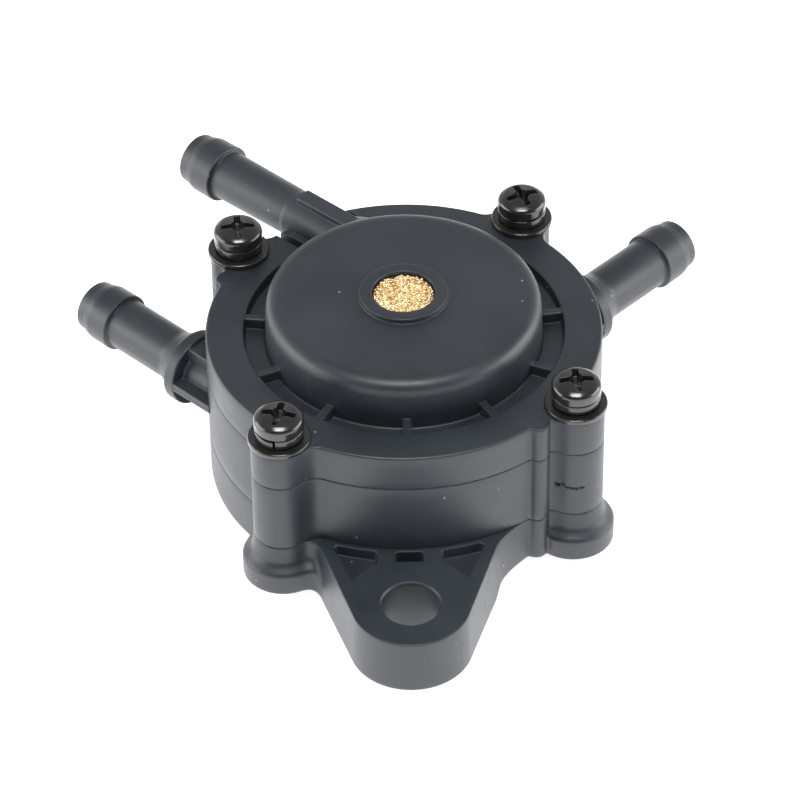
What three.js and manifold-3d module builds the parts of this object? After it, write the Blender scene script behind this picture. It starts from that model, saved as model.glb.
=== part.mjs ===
// Pulse-driven diaphragm fuel pump for a small engine.
// Three moulded bodies are stacked on one axis and held by four screws: a lower body with two
// mounting ears, a middle body with the two fuel ports and both valves, and a top cover with a
// dome, the pulse port and a porous bronze vent disc. Millimetres, +Z up.
// The origin is on the body axis, in the plane of the two ear pads and the centre pad.
// Ears point along -Y and +Y.
import * as THREE from "three";
import { mergeVertices } from "three/addons/utils/BufferGeometryUtils.js";
import Module from "manifold-3d";

const wasm = await Module();
wasm.setup();

// ---------- driving sizes ----------
const bodyRadius = 27; // outer wall of all three bodies
const standOff = 1.1; // body underside above the mounting plane
const lowerHeight = 6.95; // lower body without its pads
const middleHeight = 10.65;
const flangeHeight = 5.5; // top cover, up to the top of its flange
const seamClearance = 0; // the bodies are clamped face to face

const bossStandOut = 1.2; // screw axis outside the body wall
const bossRadius = 3.9;
const bossFillet = 2.2;
const bossAngles = { front_right: -36.9, back_right: 53.1, back_left: 143.1, front_left: 233.1 };
const keyAngles = [-49.5, 155]; // half-round keys that line the bodies up
const keyRadius = 1.5;
const keyInset = 0.2; // key axis inside the body wall
const footRadius = 5.5;
const footRimHeight = 3;
const footFlareHeight = 1.5;

const earReach = 10.5; // mounting hole axis outside the body wall
const earTipRadius = 8.15;
const earFlareAngle = 18; // each side, towards the body
const earRoot = 4; // ear stock run back inside the body wall
const earHoleRadius = 3.86;
const earPocketDepth = 1.5;
const earPocketLip = 0.5; // pocket edge outside the body wall
const earPocketCorner = { innerX: 4.3, tipX: 7.7, outerX: 9.8 };
const earRingRadius = 9; // solid ring round the mounting hole, the near edge of each pocket
const earPocketBevel = { width: 0.5, depth: 0.6 }; // cut outer corner of each pocket
const earSlot = { halfWidth: 1.9, length: 2.2, depth: 4 };
const centrePadRadius = 8;

const flangeWidth = 5.2; // body wall to the edge of the moat
const moatWidth = 2.9;
const moatDepth = 1.75;
const ribCount = 11;
const ribWidth = 1.2;
const ribDrop = 0.1; // rib top below the flange top
const ribOverlap = 0.5; // rib ends sunk into both moat walls
const domeWall = 2.3;
const domeRise = 5.6; // dome top above the flange top
const domeRoof = 2;
const domeDraft = 0.3;
const domeEdgeRadius = 1.8;
const crownRadius = 5.9; // raised ring round the vent disc
const crownRise = 0.7;
const crownFlare = 0.4; // foot of the ring wider than its top
const ventRadius = 4.15;
const ventThickness = 1.3;
const ventSink = 0.3; // disc face below the crown top
const ventHoleRadius = 2.6;
const spigotRadius = 4.6; // centres the return spring under the dome
const spigotDrop = 1.4;

const tubeRadius = 3.6;
const barbRadius = 4.15;
const barbLength = 6.1;
const barbNoseLength = 1.6;
const barbTaperLength = 1;
const barbNoseRadius = 3.75;
const barbTipRadius = 3.6;
const barbTipChamfer = 0.2;
const pulseReach = 21.4; // port tips outside the body wall, along the port axis
const inletReach = 22.8;
const outletReach = 23.1;
const portBoreRadius = 1.5;
const portBoreOverrun = 1.5; // bore end inside the chamber wall
const collarRadius = 5.3;
const collarStart = 1.75; // outside the body wall, along the port axis
const collarLength = 2;
const neckRadius = 3.3; // core of the port between wall and collar
const neckRibWidth = 1.3; // level ribs, one on each side
const neckKeelWidth = 3.8; // upright ribs above and below
const neckRibDrop = 0.1; // rib edge inside the collar edge
const pulseTubeRadius = 3.5;
const pulseKeelWidth = 2.5; // rib along the top of the pulse port
const pulseKeelHeight = 0.7; // above the tube
const pulseKeelReach = 0.6; // rib end outside the body wall, along the port axis
const pulseLedgeWidth = 0.8; // ledge along each side of the pulse port, on the flange
const pulseLedgeRise = 0.3; // above the flange top
const pulseSlotWidth = 0.9; // slot in the flange beside each ledge
const pulseSlotDepth = 1.5;
const pulseAxisRise = 0.15; // pulse port axis above the flange top
const portSink = 6; // port stock run back inside the wall before the cavities are cut

const clampWidth = 2.3; // chamber edge to the edge of the rubber sheets
const sheetInset = 4.7; // body wall to the edge of the rubber sheets
const diaphragmThickness = 0.6;
const membraneThickness = 0.5;
const sheetClearance = 0.05;
const strokeDepth = 2.3; // pump chamber below the diaphragm
const webThickness = 1.2; // wall between pump chamber and the port chambers
const dividerHalfWidth = 0.9;
const floorThickness = 1.9; // lower body floor

const plateInset = 4; // chamber edge to the diaphragm plates
const plateThickness = 0.6;
const rivetRadius = 1.5;
const rivetHeadRadius = 3;
const rivetHeadHeight = 0.4;
const rivetHeadTaper = 0.3;
const rivetClearance = 0.1;
const springRadius = 6.4;
const springWire = 0.5;
const springTurns = 5;
const springEndGap = 0.15;

const valveOffset = 10; // valve axes from the body axis, along X
const valveRadius = 4.2;
const valveThickness = 0.6;
const valveLift = 0.6;
const valvePocketRadius = 5.2;
const valvePocketDepth = 1.8;
const valveSeatWall = 1.2;
const valvePortCount = 6;
const valvePortRadius = 0.8;
const valvePortCircle = 2.7;
const guideRadius = 0.8;
const guideHeadRadius = 2.2;
const guideHeadHeight = 0.35;
const guideGap = 0.2; // spare room between an open valve and the guide head
const guideFit = 0.05;
const valveBoreClearance = 0.2;
const valveSpringRadius = 1.5;
const valveSpringWire = 0.12;
const valveSpringTurns = 2;
const valveSpringGap = 0.04;

const screwRadius = 2;
const screwLength = 22;
const screwTip = { inset: 0.5, height: 0.8 };
const screwHoleClearance = 0.25;
const threadClearance = 0.05;
const screwSides = 20; // of each shank and of each hole round it, so that their flats line up
const screwHoleSpare = 1;
const screwHeadRadius = 3.4;
const screwHeadHeight = 2.4;
const screwDomeHeight = 0.9;
const screwDomeEdge = { inset: 0.35, rise: 0.55 }; // rise as a share of the dome height
const screwDomeShoulder = { inset: 1.2, rise: 0.9 };
const recessSpan = 4.5;
const recessWidth = 0.95;
const recessDepth = 1.3;
const washerRadius = 4.25;
const washerThickness = 0.8;
const lockWasherRadius = 3.3;
const lockWasherThickness = 1.6;
const lockWasherSplit = 0.5;
const washerBoreClearance = 0.15;

// ---------- ports: angle of the axis, sideways offset from the body axis, reach ----------
const bodyPitch = bodyRadius + bossStandOut;
const sheetRadius = bodyRadius - sheetInset;
const chamberRadius = sheetRadius - clampWidth;
const moatOuterRadius = bodyRadius - flangeWidth;
const domeRadius = moatOuterRadius - moatWidth;
const cavityRadius = domeRadius - domeWall;
const pulsePort = { angle: 136.9, offset: -8.34, reach: pulseReach };
const inletPort = { angle: 135.7, offset: chamberRadius - tubeRadius, reach: inletReach };
const outletPort = { angle: 44.4, offset: -6.05, reach: outletReach };

// ---------- levels ----------
const lowerBottomZ = standOff;
const lowerTopZ = lowerBottomZ + lowerHeight;
const middleBottomZ = lowerTopZ + seamClearance;
const middleTopZ = middleBottomZ + middleHeight;
const coverBottomZ = middleTopZ + seamClearance;
const flangeTopZ = coverBottomZ + flangeHeight;
const domeTopZ = flangeTopZ + domeRise;
const crownTopZ = domeTopZ + crownRise;
const cavityRoofZ = domeTopZ - domeRoof;
const moatFloorZ = flangeTopZ - moatDepth;
const fuelPortZ = middleBottomZ + middleHeight / 2;
const pulsePortZ = flangeTopZ + pulseAxisRise;
const diaphragmBottomZ = middleTopZ - diaphragmThickness;
const pumpFloorZ = diaphragmBottomZ - strokeDepth;
const webBottomZ = pumpFloorZ - webThickness;
const inletSeatZ = pumpFloorZ - valvePocketDepth;
const outletSeatZ = webBottomZ;
const underHeadZ = flangeTopZ + washerThickness + lockWasherThickness;
const earHoleY = bodyRadius + earReach;
const cut = 1; // cutters run this far past open faces

const radians = THREE.MathUtils.degToRad;

// ---------- solids ----------

// A three.js geometry as a manifold solid: welded, slivers at poles dropped, faces pointing out.
function solid(geometry) {
  geometry.deleteAttribute("normal");
  geometry.deleteAttribute("uv");
  const welded = mergeVertices(geometry, 1e-4);
  const points = welded.attributes.position.array;
  const faces = [];
  let volume = 0;
  for (let i = 0; i < welded.index.count; i += 3) {
    const [a, b, c] = [0, 1, 2].map((k) => welded.index.getX(i + k));
    if (a === b || b === c || c === a) continue;
    faces.push([a, b, c]);
    const [p, q, r] = [a, b, c].map((k) => new THREE.Vector3().fromArray(points, 3 * k));
    volume += p.dot(q.cross(r));
  }
  const triVerts = new Uint32Array(faces.flatMap(([a, b, c]) => (volume < 0 ? [a, c, b] : [a, b, c])));
  const vertProperties = new Float32Array(points);
  return new wasm.Manifold(new wasm.Mesh({ numProp: 3, vertProperties, triVerts }));
}

function join(first, ...others) {
  return others.reduce((whole, piece) => whole.add(piece), first);
}

function carve(stock, ...cutters) {
  return cutters.reduce((left, cutter) => left.subtract(cutter), stock);
}

// Upright cylinder between two levels.
function rod(radius, z0, z1, x = 0, y = 0, sides = 24) {
  const geometry = new THREE.CylinderGeometry(radius, radius, z1 - z0, sides);
  geometry.rotateX(Math.PI / 2);
  geometry.translate(x, y, (z0 + z1) / 2);
  return solid(geometry);
}

// Box between two corners.
function block(x0, y0, z0, x1, y1, z1) {
  const geometry = new THREE.BoxGeometry(x1 - x0, y1 - y0, z1 - z0);
  geometry.translate((x0 + x1) / 2, (y0 + y1) / 2, (z0 + z1) / 2);
  return solid(geometry);
}

// Solid of revolution about Z. Profile points are [radius, z], axis to axis.
function turned(profile, sides = 48) {
  const geometry = new THREE.LatheGeometry(profile.map(([r, z]) => new THREE.Vector2(r, z)), sides);
  geometry.rotateX(Math.PI / 2);
  return solid(geometry);
}

// Upright prism of a closed outline.
function prism(points, z0, z1) {
  const settings = { depth: z1 - z0, bevelEnabled: false };
  const geometry = new THREE.ExtrudeGeometry(new THREE.Shape(points), settings);
  geometry.translate(0, 0, z0);
  return solid(geometry);
}

// Points on an arc, degrees, both ends included.
function arc(x, y, radius, from, to, steps) {
  return Array.from({ length: steps + 1 }, (_, i) => {
    const angle = radians(from + ((to - from) * i) / steps);
    return new THREE.Vector2(x + radius * Math.cos(angle), y + radius * Math.sin(angle));
  });
}

function polar(radius, angle) {
  return [radius * Math.cos(radians(angle)), radius * Math.sin(radians(angle))];
}

class Helix extends THREE.Curve {
  constructor(radius, z0, z1, turns, x, y) {
    super();
    Object.assign(this, { radius, z0, z1, turns, x, y });
  }

  getPoint(t, target = new THREE.Vector3()) {
    const angle = 2 * Math.PI * this.turns * t;
    const x = this.x + this.radius * Math.cos(angle);
    const y = this.y + this.radius * Math.sin(angle);
    return target.set(x, y, this.z0 + (this.z1 - this.z0) * t);
  }
}

// Coil spring of round wire between two faces, with a small gap at each end.
function coil({ radius, wire, turns, low, high, gap, x = 0, y = 0, sides = 6, stepsPerTurn = 14 }) {
  const path = new Helix(radius, low + wire + gap, high - wire - gap, turns, x, y);
  const section = new THREE.Shape(arc(0, 0, wire, 0, 360 - 360 / sides, sides - 1));
  const settings = { steps: Math.round(turns * stepsPerTurn), extrudePath: path, bevelEnabled: false };
  return solid(new THREE.ExtrudeGeometry(section, settings));
}

const group = new THREE.Group();

function addNode(name, body, look) {
  const { vertProperties, triVerts } = body.getMesh();
  const geometry = new THREE.BufferGeometry();
  geometry.setAttribute("position", new THREE.BufferAttribute(vertProperties, 3));
  geometry.setIndex(new THREE.BufferAttribute(triVerts, 1));
  geometry.computeVertexNormals();
  const mesh = new THREE.Mesh(geometry, new THREE.MeshStandardMaterial(look));
  mesh.name = name;
  group.add(mesh);
}

const nylon = { color: 0x24282b, roughness: 0.55, metalness: 0 };
const blackOxide = { color: 0x121315, roughness: 0.3, metalness: 0.8 };
const bronze = { color: 0xb08a52, roughness: 0.6, metalness: 0.7 };
const rubber = { color: 0x1b1b1b, roughness: 0.8, metalness: 0 };
const steel = { color: 0x9aa0a4, roughness: 0.35, metalness: 0.9 };

// ---------- shared outline of the bodies ----------

// Body wall with four screw bosses, each blended to the wall by two round fillets.
function bodyOutline() {
  const filletPitch = bodyRadius + bossFillet;
  const filletToBoss = bossRadius + bossFillet;
  const cosine = (filletPitch ** 2 + bodyPitch ** 2 - filletToBoss ** 2) / (2 * filletPitch * bodyPitch);
  const spread = THREE.MathUtils.radToDeg(Math.acos(cosine));
  const angles = Object.values(bossAngles);
  const points = [];
  angles.forEach((angle, i) => {
    const [bossX, bossY] = polar(bodyPitch, angle);
    const [x0, y0] = polar(filletPitch, angle - spread);
    const [x1, y1] = polar(filletPitch, angle + spread);
    const facing = THREE.MathUtils.radToDeg(Math.atan2(bossY - y0, bossX - x0)) - angle;
    const turn = ((facing % 360) + 360) % 360; // from the first fillet towards the boss, boss frame
    const next = (angles[i + 1] ?? angles[0] + 360) - spread;
    points.push(...arc(x0, y0, bossFillet, angle - spread + 180, angle + turn, 4));
    points.push(...arc(bossX, bossY, bossRadius, angle + turn - 180, angle - turn + 180, 10).slice(1, -1));
    points.push(...arc(x1, y1, bossFillet, angle - turn + 360, angle + spread + 180, 4));
    points.push(...arc(0, 0, bodyRadius, angle + spread, next, 10).slice(1, -1));
  });
  return points;
}

function bodyBlank(z0, z1) {
  const keys = keyAngles.map((angle) => rod(keyRadius, z0, z1, ...polar(bodyRadius - keyInset, angle), 16));
  return join(prism(bodyOutline(), z0, z1), ...keys);
}

function screwHoles(radius, z0, z1) {
  const hole = (angle) => rod(radius, z0, z1, ...polar(bodyPitch, angle), screwSides);
  return Object.values(bossAngles).map(hole);
}

// ---------- hose ports ----------

// Distance along a port axis at which it meets a wall of the given radius round the body axis.
function wallDistance(port, radius) {
  return Math.sqrt(radius ** 2 - port.offset ** 2);
}

// Moves a solid built along +Z from the axis foot point to where the port lies.
function placePort(geometry, port, z) {
  geometry.rotateY(Math.PI / 2);
  geometry.rotateZ(radians(port.angle));
  const [x, y] = polar(port.offset, port.angle + 90);
  geometry.translate(x, y, z);
  return solid(geometry);
}

function portTurned(profile, port, z, sides = 24) {
  const geometry = new THREE.LatheGeometry(profile.map(([r, l]) => new THREE.Vector2(r, l)), sides);
  geometry.rotateX(Math.PI / 2);
  return placePort(geometry, port, z);
}

// Box along a port: length range, range across, height range about the port axis.
function portBlock(port, z, l0, l1, w0, w1, h0, h1) {
  const geometry = new THREE.BoxGeometry(h1 - h0, w1 - w0, l1 - l0);
  geometry.translate(-(h0 + h1) / 2, (w0 + w1) / 2, (l0 + l1) / 2);
  return placePort(geometry, port, z);
}

// Barbed end of a port: tube, shoulder, barb, taper and nose. Starts at distance `from`.
function barbProfile(radius, from, tip) {
  return [
    [0, from],
    [radius, from],
    [radius, tip - barbLength],
    [barbRadius, tip - barbLength],
    [barbRadius, tip - barbNoseLength - barbTaperLength],
    [barbNoseRadius, tip - barbNoseLength],
    [barbTipRadius, tip - barbTipChamfer],
    [barbTipRadius - barbTipChamfer, tip],
    [0, tip],
  ];
}

function portBore(port, z, from, tip) {
  const end = tip + cut;
  return portTurned([[0, from], [portBoreRadius, from], [portBoreRadius, end], [0, end]], port, z, 12);
}

// Fuel port: a ribbed neck at the body wall, a round collar, then the barbed tube.
function fuelPort(port) {
  const wall = wallDistance(port, bodyRadius);
  const tip = wall + port.reach;
  const collarFrom = wall + collarStart;
  const root = wall - portSink;
  const collarTo = collarFrom + collarLength;
  const stem = [
    [0, root],
    [neckRadius, root],
    [neckRadius, collarFrom],
    [collarRadius, collarFrom],
    [collarRadius, collarTo],
    ...barbProfile(tubeRadius, collarTo, tip).slice(1),
  ];
  const half = neckRibWidth / 2;
  const keelHalf = neckKeelWidth / 2;
  const reach = Math.sqrt((collarRadius - neckRibDrop) ** 2 - keelHalf ** 2);
  const ribEnd = collarFrom + collarLength / 2;
  return join(
    portTurned(stem, port, fuelPortZ),
    portBlock(port, fuelPortZ, root, ribEnd, -keelHalf, keelHalf, -reach, reach),
    portBlock(port, fuelPortZ, root, ribEnd, -reach, reach, -half, half),
  );
}

// ---------- top cover ----------

function domeBlank() {
  const topRadius = domeRadius - domeDraft;
  const edge = arc(topRadius - domeEdgeRadius, domeTopZ - domeEdgeRadius, domeEdgeRadius, 0, 90, 6);
  const profile = [
    [0, moatFloorZ - cut / 2],
    [domeRadius, moatFloorZ - cut / 2],
    [domeRadius, moatFloorZ],
    ...edge.map((p) => [p.x, p.y]),
    [crownRadius + crownFlare, domeTopZ],
    [crownRadius, crownTopZ],
    [0, crownTopZ],
  ];
  return turned(profile, 48);
}

function topCover() {
  const tip = wallDistance(pulsePort, bodyRadius) + pulsePort.reach;
  const inner = wallDistance(pulsePort, cavityRadius) - portSink / 2;
  const wall = wallDistance(pulsePort, bodyRadius);
  const keelHalf = pulseKeelWidth / 2;
  const ledge = pulseTubeRadius + pulseLedgeWidth;
  const ledgeTop = pulseLedgeRise - pulseAxisRise;
  const ledgeEnd = wall - pulseLedgeWidth;
  const slotEnd = ledge + pulseSlotWidth;
  const slotRun = (wall + tip) / 2; // past the rim of the flange
  const slots = [-slotEnd, ledge].map((from) =>
    portBlock(pulsePort, flangeTopZ, inner, slotRun, from, from + pulseSlotWidth, -pulseSlotDepth, cut),
  );
  const moat = carve(
    rod(moatOuterRadius, moatFloorZ, flangeTopZ + cut, 0, 0, 48),
    rod(domeRadius - domeDraft, moatFloorZ - cut, flangeTopZ + 2 * cut, 0, 0, 48),
  );
  const ribs = Array.from({ length: ribCount }, (_, i) => {
    const bottom = moatFloorZ - cut / 2;
    const top = flangeTopZ - ribDrop;
    const geometry = new THREE.BoxGeometry(moatWidth + 2 * ribOverlap, ribWidth, top - bottom);
    geometry.translate(domeRadius + moatWidth / 2, 0, (bottom + top) / 2);
    geometry.rotateZ(radians(-90 + (360 * i) / ribCount));
    return solid(geometry);
  });
  const keelTop = pulseTubeRadius + pulseKeelHeight;
  const shell = join(
    carve(bodyBlank(coverBottomZ, flangeTopZ), moat, ...slots),
    domeBlank(),
    ...ribs,
    portTurned(barbProfile(pulseTubeRadius, inner, tip), pulsePort, pulsePortZ),
    portBlock(pulsePort, pulsePortZ, inner, wall + pulseKeelReach, -keelHalf, keelHalf, 0, keelTop),
    portBlock(pulsePort, pulsePortZ, inner, ledgeEnd, -ledge, ledge, -pulseTubeRadius, ledgeTop),
  );
  const cavity = carve(
    rod(cavityRadius, coverBottomZ - cut, cavityRoofZ, 0, 0, 40),
    rod(spigotRadius, cavityRoofZ - spigotDrop, cavityRoofZ + cut),
  );
  return carve(
    shell,
    cavity,
    rod(ventRadius + sheetClearance, crownTopZ - ventSink - ventThickness, crownTopZ + cut),
    rod(ventHoleRadius, cavityRoofZ - spigotDrop - cut, crownTopZ),
    portBore(pulsePort, pulsePortZ, inner, tip),
    ...screwHoles(screwRadius + screwHoleClearance, coverBottomZ - cut, flangeTopZ + cut),
  );
}

// ---------- middle body ----------

function valvePorts(x, z0, z1) {
  const ports = Array.from({ length: valvePortCount }, (_, i) => {
    const [dx, dy] = polar(valvePortCircle, (360 * i) / valvePortCount);
    return rod(valvePortRadius, z0, z1, x + dx, dy, 10);
  });
  return [...ports, rod(guideRadius + guideFit, z0, z1, x, 0, 12)];
}

function middleBody() {
  const chambers = carve(
    rod(chamberRadius, middleBottomZ - cut, webBottomZ, 0, 0, 40),
    block(-dividerHalfWidth, -bodyRadius, middleBottomZ - 2 * cut, dividerHalfWidth, bodyRadius, middleTopZ),
  );
  const seatBottomZ = inletSeatZ - valveSeatWall;
  const shell = join(
    carve(join(bodyBlank(middleBottomZ, middleTopZ), fuelPort(inletPort), fuelPort(outletPort)), chambers),
    rod(valvePocketRadius + valveSeatWall, seatBottomZ, webBottomZ + cut / 2, -valveOffset, 0, 28),
  );
  const bores = [inletPort, outletPort].map((port) => {
    const wall = wallDistance(port, bodyRadius);
    const inside = Math.max(wallDistance(port, chamberRadius) - portBoreOverrun, 0);
    return portBore(port, fuelPortZ, inside, wall + port.reach);
  });
  return carve(
    shell,
    rod(sheetRadius + sheetClearance, diaphragmBottomZ, middleTopZ + cut, 0, 0, 40),
    rod(cavityRadius, pumpFloorZ, middleTopZ, 0, 0, 40),
    rod(valvePocketRadius, inletSeatZ, middleTopZ, -valveOffset, 0, 28),
    ...valvePorts(-valveOffset, seatBottomZ - cut, inletSeatZ + cut),
    ...valvePorts(valveOffset, webBottomZ - cut, pumpFloorZ + cut),
    ...bores,
    ...screwHoles(screwRadius + screwHoleClearance, middleBottomZ - cut, middleTopZ + cut),
  );
}

// ---------- lower body ----------

// One mounting ear, side = -1 for the front ear and +1 for the rear ear.
function ear(side) {
  const innerY = bodyRadius - earRoot;
  const lean = radians(earFlareAngle);
  const shoulder = earTipRadius / Math.cos(lean) + (earHoleY - innerY) * Math.tan(lean);
  const outline = [
    new THREE.Vector2(-shoulder, -innerY),
    ...arc(0, -earHoleY, earTipRadius, 180 + earFlareAngle, 360 - earFlareAngle, 14),
    new THREE.Vector2(shoulder, -innerY),
  ];
  const wall = bodyRadius + earPocketLip;
  const edgeY = (x) => -Math.sqrt(wall ** 2 - x ** 2);
  const { innerX, tipX, outerX } = earPocketCorner;
  const ringAngle = (x) => THREE.MathUtils.radToDeg(Math.acos(x / earRingRadius));
  const pocket = [
    new THREE.Vector2(innerX, edgeY(innerX)),
    ...arc(0, -earHoleY, earRingRadius, ringAngle(innerX), ringAngle(tipX), 3),
    new THREE.Vector2(outerX, edgeY(outerX) - earPocketBevel.depth),
    new THREE.Vector2(outerX - earPocketBevel.width, edgeY(outerX)),
  ];
  const mirrored = pocket.map((p) => new THREE.Vector2(-p.x, p.y)).reverse();
  const floorZ = lowerTopZ - earPocketDepth;
  const slotFloorZ = lowerTopZ - earSlot.depth;
  const top = lowerTopZ + cut;
  const body = carve(
    prism(outline, 0, lowerTopZ),
    prism(pocket, floorZ, top),
    prism(mirrored, floorZ, top),
    block(-earSlot.halfWidth, -wall - earSlot.length, slotFloorZ, earSlot.halfWidth, -wall, top),
  );
  return side < 0 ? body : body.mirror([0, 1, 0]);
}

function foot(angle) {
  const [x, y] = polar(bodyPitch, angle);
  const rimTop = lowerBottomZ + footRimHeight;
  const flareTop = rimTop + footFlareHeight;
  const profile = [
    [0, lowerBottomZ],
    [footRadius, lowerBottomZ],
    [footRadius, rimTop],
    [bossRadius, flareTop],
    [0, flareTop],
  ];
  const geometry = new THREE.LatheGeometry(profile.map(([r, z]) => new THREE.Vector2(r, z)), 28);
  geometry.rotateX(Math.PI / 2);
  geometry.translate(x, y, 0);
  return solid(geometry);
}

function lowerBody() {
  const body = bodyBlank(lowerBottomZ, lowerTopZ);
  const feet = Object.values(bossAngles).map(foot);
  const pocket = carve(
    rod(chamberRadius, lowerBottomZ + floorThickness, lowerTopZ, 0, 0, 40),
    block(-dividerHalfWidth, -bodyRadius, 0, dividerHalfWidth, bodyRadius, lowerTopZ + cut),
  );
  const screwTipZ = underHeadZ - screwLength;
  const earHoles = [-1, 1].map((side) => rod(earHoleRadius, -cut, lowerTopZ + cut, 0, side * earHoleY, 28));
  const stock = join(body, ear(-1), ear(1), ...feet, rod(centrePadRadius, 0, lowerBottomZ + cut / 2));
  return carve(
    stock,
    rod(sheetRadius + sheetClearance, lowerTopZ - membraneThickness, lowerTopZ + cut, 0, 0, 40),
    pocket,
    ...earHoles,
    ...screwHoles(screwRadius + threadClearance, screwTipZ - screwHoleSpare, lowerTopZ + cut),
  );
}

// ---------- rubber sheets, plates, rivet and return spring ----------

function diaphragm() {
  const bore = rod(rivetRadius + rivetClearance, 0, middleTopZ + cut, 0, 0, 20);
  return carve(rod(sheetRadius, diaphragmBottomZ, middleTopZ, 0, 0, 40), bore);
}

function plate(z0) {
  const bore = rod(rivetRadius + rivetClearance, z0 - cut, z0 + plateThickness + cut, 0, 0, 20);
  return carve(rod(cavityRadius - plateInset, z0, z0 + plateThickness, 0, 0, 40), bore);
}

function rivet() {
  const lowFace = diaphragmBottomZ - plateThickness;
  const highFace = middleTopZ + plateThickness;
  return turned(
    [
      [0, lowFace - rivetHeadHeight],
      [rivetHeadRadius, lowFace - rivetHeadHeight],
      [rivetHeadRadius, lowFace],
      [rivetRadius, lowFace],
      [rivetRadius, highFace],
      [rivetHeadRadius, highFace],
      [rivetHeadRadius - rivetHeadTaper, highFace + rivetHeadHeight],
      [0, highFace + rivetHeadHeight],
    ],
    20,
  );
}

// ---------- valves: direction +1 opens upwards (inlet), -1 downwards (outlet) ----------

function addValve(label, x, seatZ, direction, anchorZ) {
  const away = (distance) => seatZ + direction * distance;
  const between = (a, b) => [Math.min(a, b), Math.max(a, b)];
  const headFace = away(valveThickness + valveLift + guideGap);
  const [discLow, discHigh] = between(seatZ, away(valveThickness));
  const disc = carve(
    rod(valveRadius, discLow, discHigh, x, 0, 28),
    rod(guideRadius + valveBoreClearance, discLow - cut, discHigh + cut, x, 0, 12),
  );
  const guide = join(
    rod(guideRadius, ...between(anchorZ, headFace + (direction * guideHeadHeight) / 2), x, 0, 12),
    rod(guideHeadRadius, ...between(headFace, headFace + direction * guideHeadHeight), x, 0, 20),
  );
  const [low, high] = between(away(valveThickness), headFace);
  const spring = coil({
    radius: valveSpringRadius,
    wire: valveSpringWire,
    turns: valveSpringTurns,
    gap: valveSpringGap,
    stepsPerTurn: 10,
    low,
    high,
    x,
  });
  addNode(`${label}_valve_disc`, disc, rubber);
  addNode(`${label}_valve_guide`, guide, steel);
  addNode(`${label}_valve_spring`, spring, steel);
}

// ---------- fasteners ----------

function screw(x, y) {
  const shoulder = underHeadZ + screwHeadHeight - screwDomeHeight;
  const profile = [
    [0, underHeadZ - screwLength],
    [screwRadius - screwTip.inset, underHeadZ - screwLength],
    [screwRadius, underHeadZ - screwLength + screwTip.height],
    [screwRadius, underHeadZ],
    [screwHeadRadius, underHeadZ],
    [screwHeadRadius, shoulder],
    [screwHeadRadius - screwDomeEdge.inset, shoulder + screwDomeHeight * screwDomeEdge.rise],
    [screwHeadRadius - screwDomeShoulder.inset, shoulder + screwDomeHeight * screwDomeShoulder.rise],
    [0, shoulder + screwDomeHeight],
  ];
  const top = shoulder + screwDomeHeight;
  const halfSpan = recessSpan / 2;
  const halfWidth = recessWidth / 2;
  const head = carve(
    turned(profile, screwSides),
    block(-halfSpan, -halfWidth, top - recessDepth, halfSpan, halfWidth, top + cut),
    block(-halfWidth, -halfSpan, top - recessDepth, halfWidth, halfSpan, top + cut),
  );
  return head.translate([x, y, 0]);
}

function flatWasher(x, y) {
  const top = flangeTopZ + washerThickness;
  const bore = rod(screwRadius + washerBoreClearance, flangeTopZ - cut, top + cut, x, y, screwSides);
  return carve(rod(washerRadius, flangeTopZ, top, x, y), bore);
}

// Split spring washer: a flat ring with a narrow gap.
function lockWasher(x, y, angle) {
  const bottom = flangeTopZ + washerThickness;
  const inner = screwRadius + washerBoreClearance;
  const halfGap = THREE.MathUtils.radToDeg(lockWasherSplit / 2 / inner);
  const ring = [
    ...arc(x, y, lockWasherRadius, angle + halfGap, angle + 360 - halfGap, 20),
    ...arc(x, y, inner, angle + 360 - halfGap, angle + halfGap, 20),
  ];
  return prism(ring, bottom, bottom + lockWasherThickness);
}

// ---------- assembly ----------

addNode("lower_body", lowerBody(), nylon);
addNode("damper_membrane", rod(sheetRadius, lowerTopZ - membraneThickness, lowerTopZ, 0, 0, 40), rubber);
addNode("middle_body", middleBody(), nylon);
addValve("inlet", -valveOffset, inletSeatZ, 1, inletSeatZ - valveSeatWall);
addValve("outlet", valveOffset, outletSeatZ, -1, pumpFloorZ);
addNode("pump_diaphragm", diaphragm(), rubber);
addNode("diaphragm_lower_plate", plate(diaphragmBottomZ - plateThickness), steel);
addNode("diaphragm_upper_plate", plate(middleTopZ), steel);
addNode("diaphragm_rivet", rivet(), steel);
const returnSpring = coil({
  radius: springRadius,
  wire: springWire,
  turns: springTurns,
  gap: springEndGap,
  low: middleTopZ + plateThickness,
  high: cavityRoofZ,
});
addNode("return_spring", returnSpring, steel);
addNode("top_cover", topCover(), nylon);
const ventTopZ = crownTopZ - ventSink;
addNode("vent_disc", rod(ventRadius, ventTopZ - ventThickness, ventTopZ), bronze);
for (const [place, angle] of Object.entries(bossAngles)) {
  const [x, y] = polar(bodyPitch, angle);
  addNode(`flat_washer_${place}`, flatWasher(x, y), blackOxide);
  addNode(`lock_washer_${place}`, lockWasher(x, y, angle), blackOxide);
  addNode(`screw_${place}`, screw(x, y), blackOxide);
}

export default group;
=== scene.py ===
import bpy
import numpy as np
from mathutils import Matrix, Vector


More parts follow.
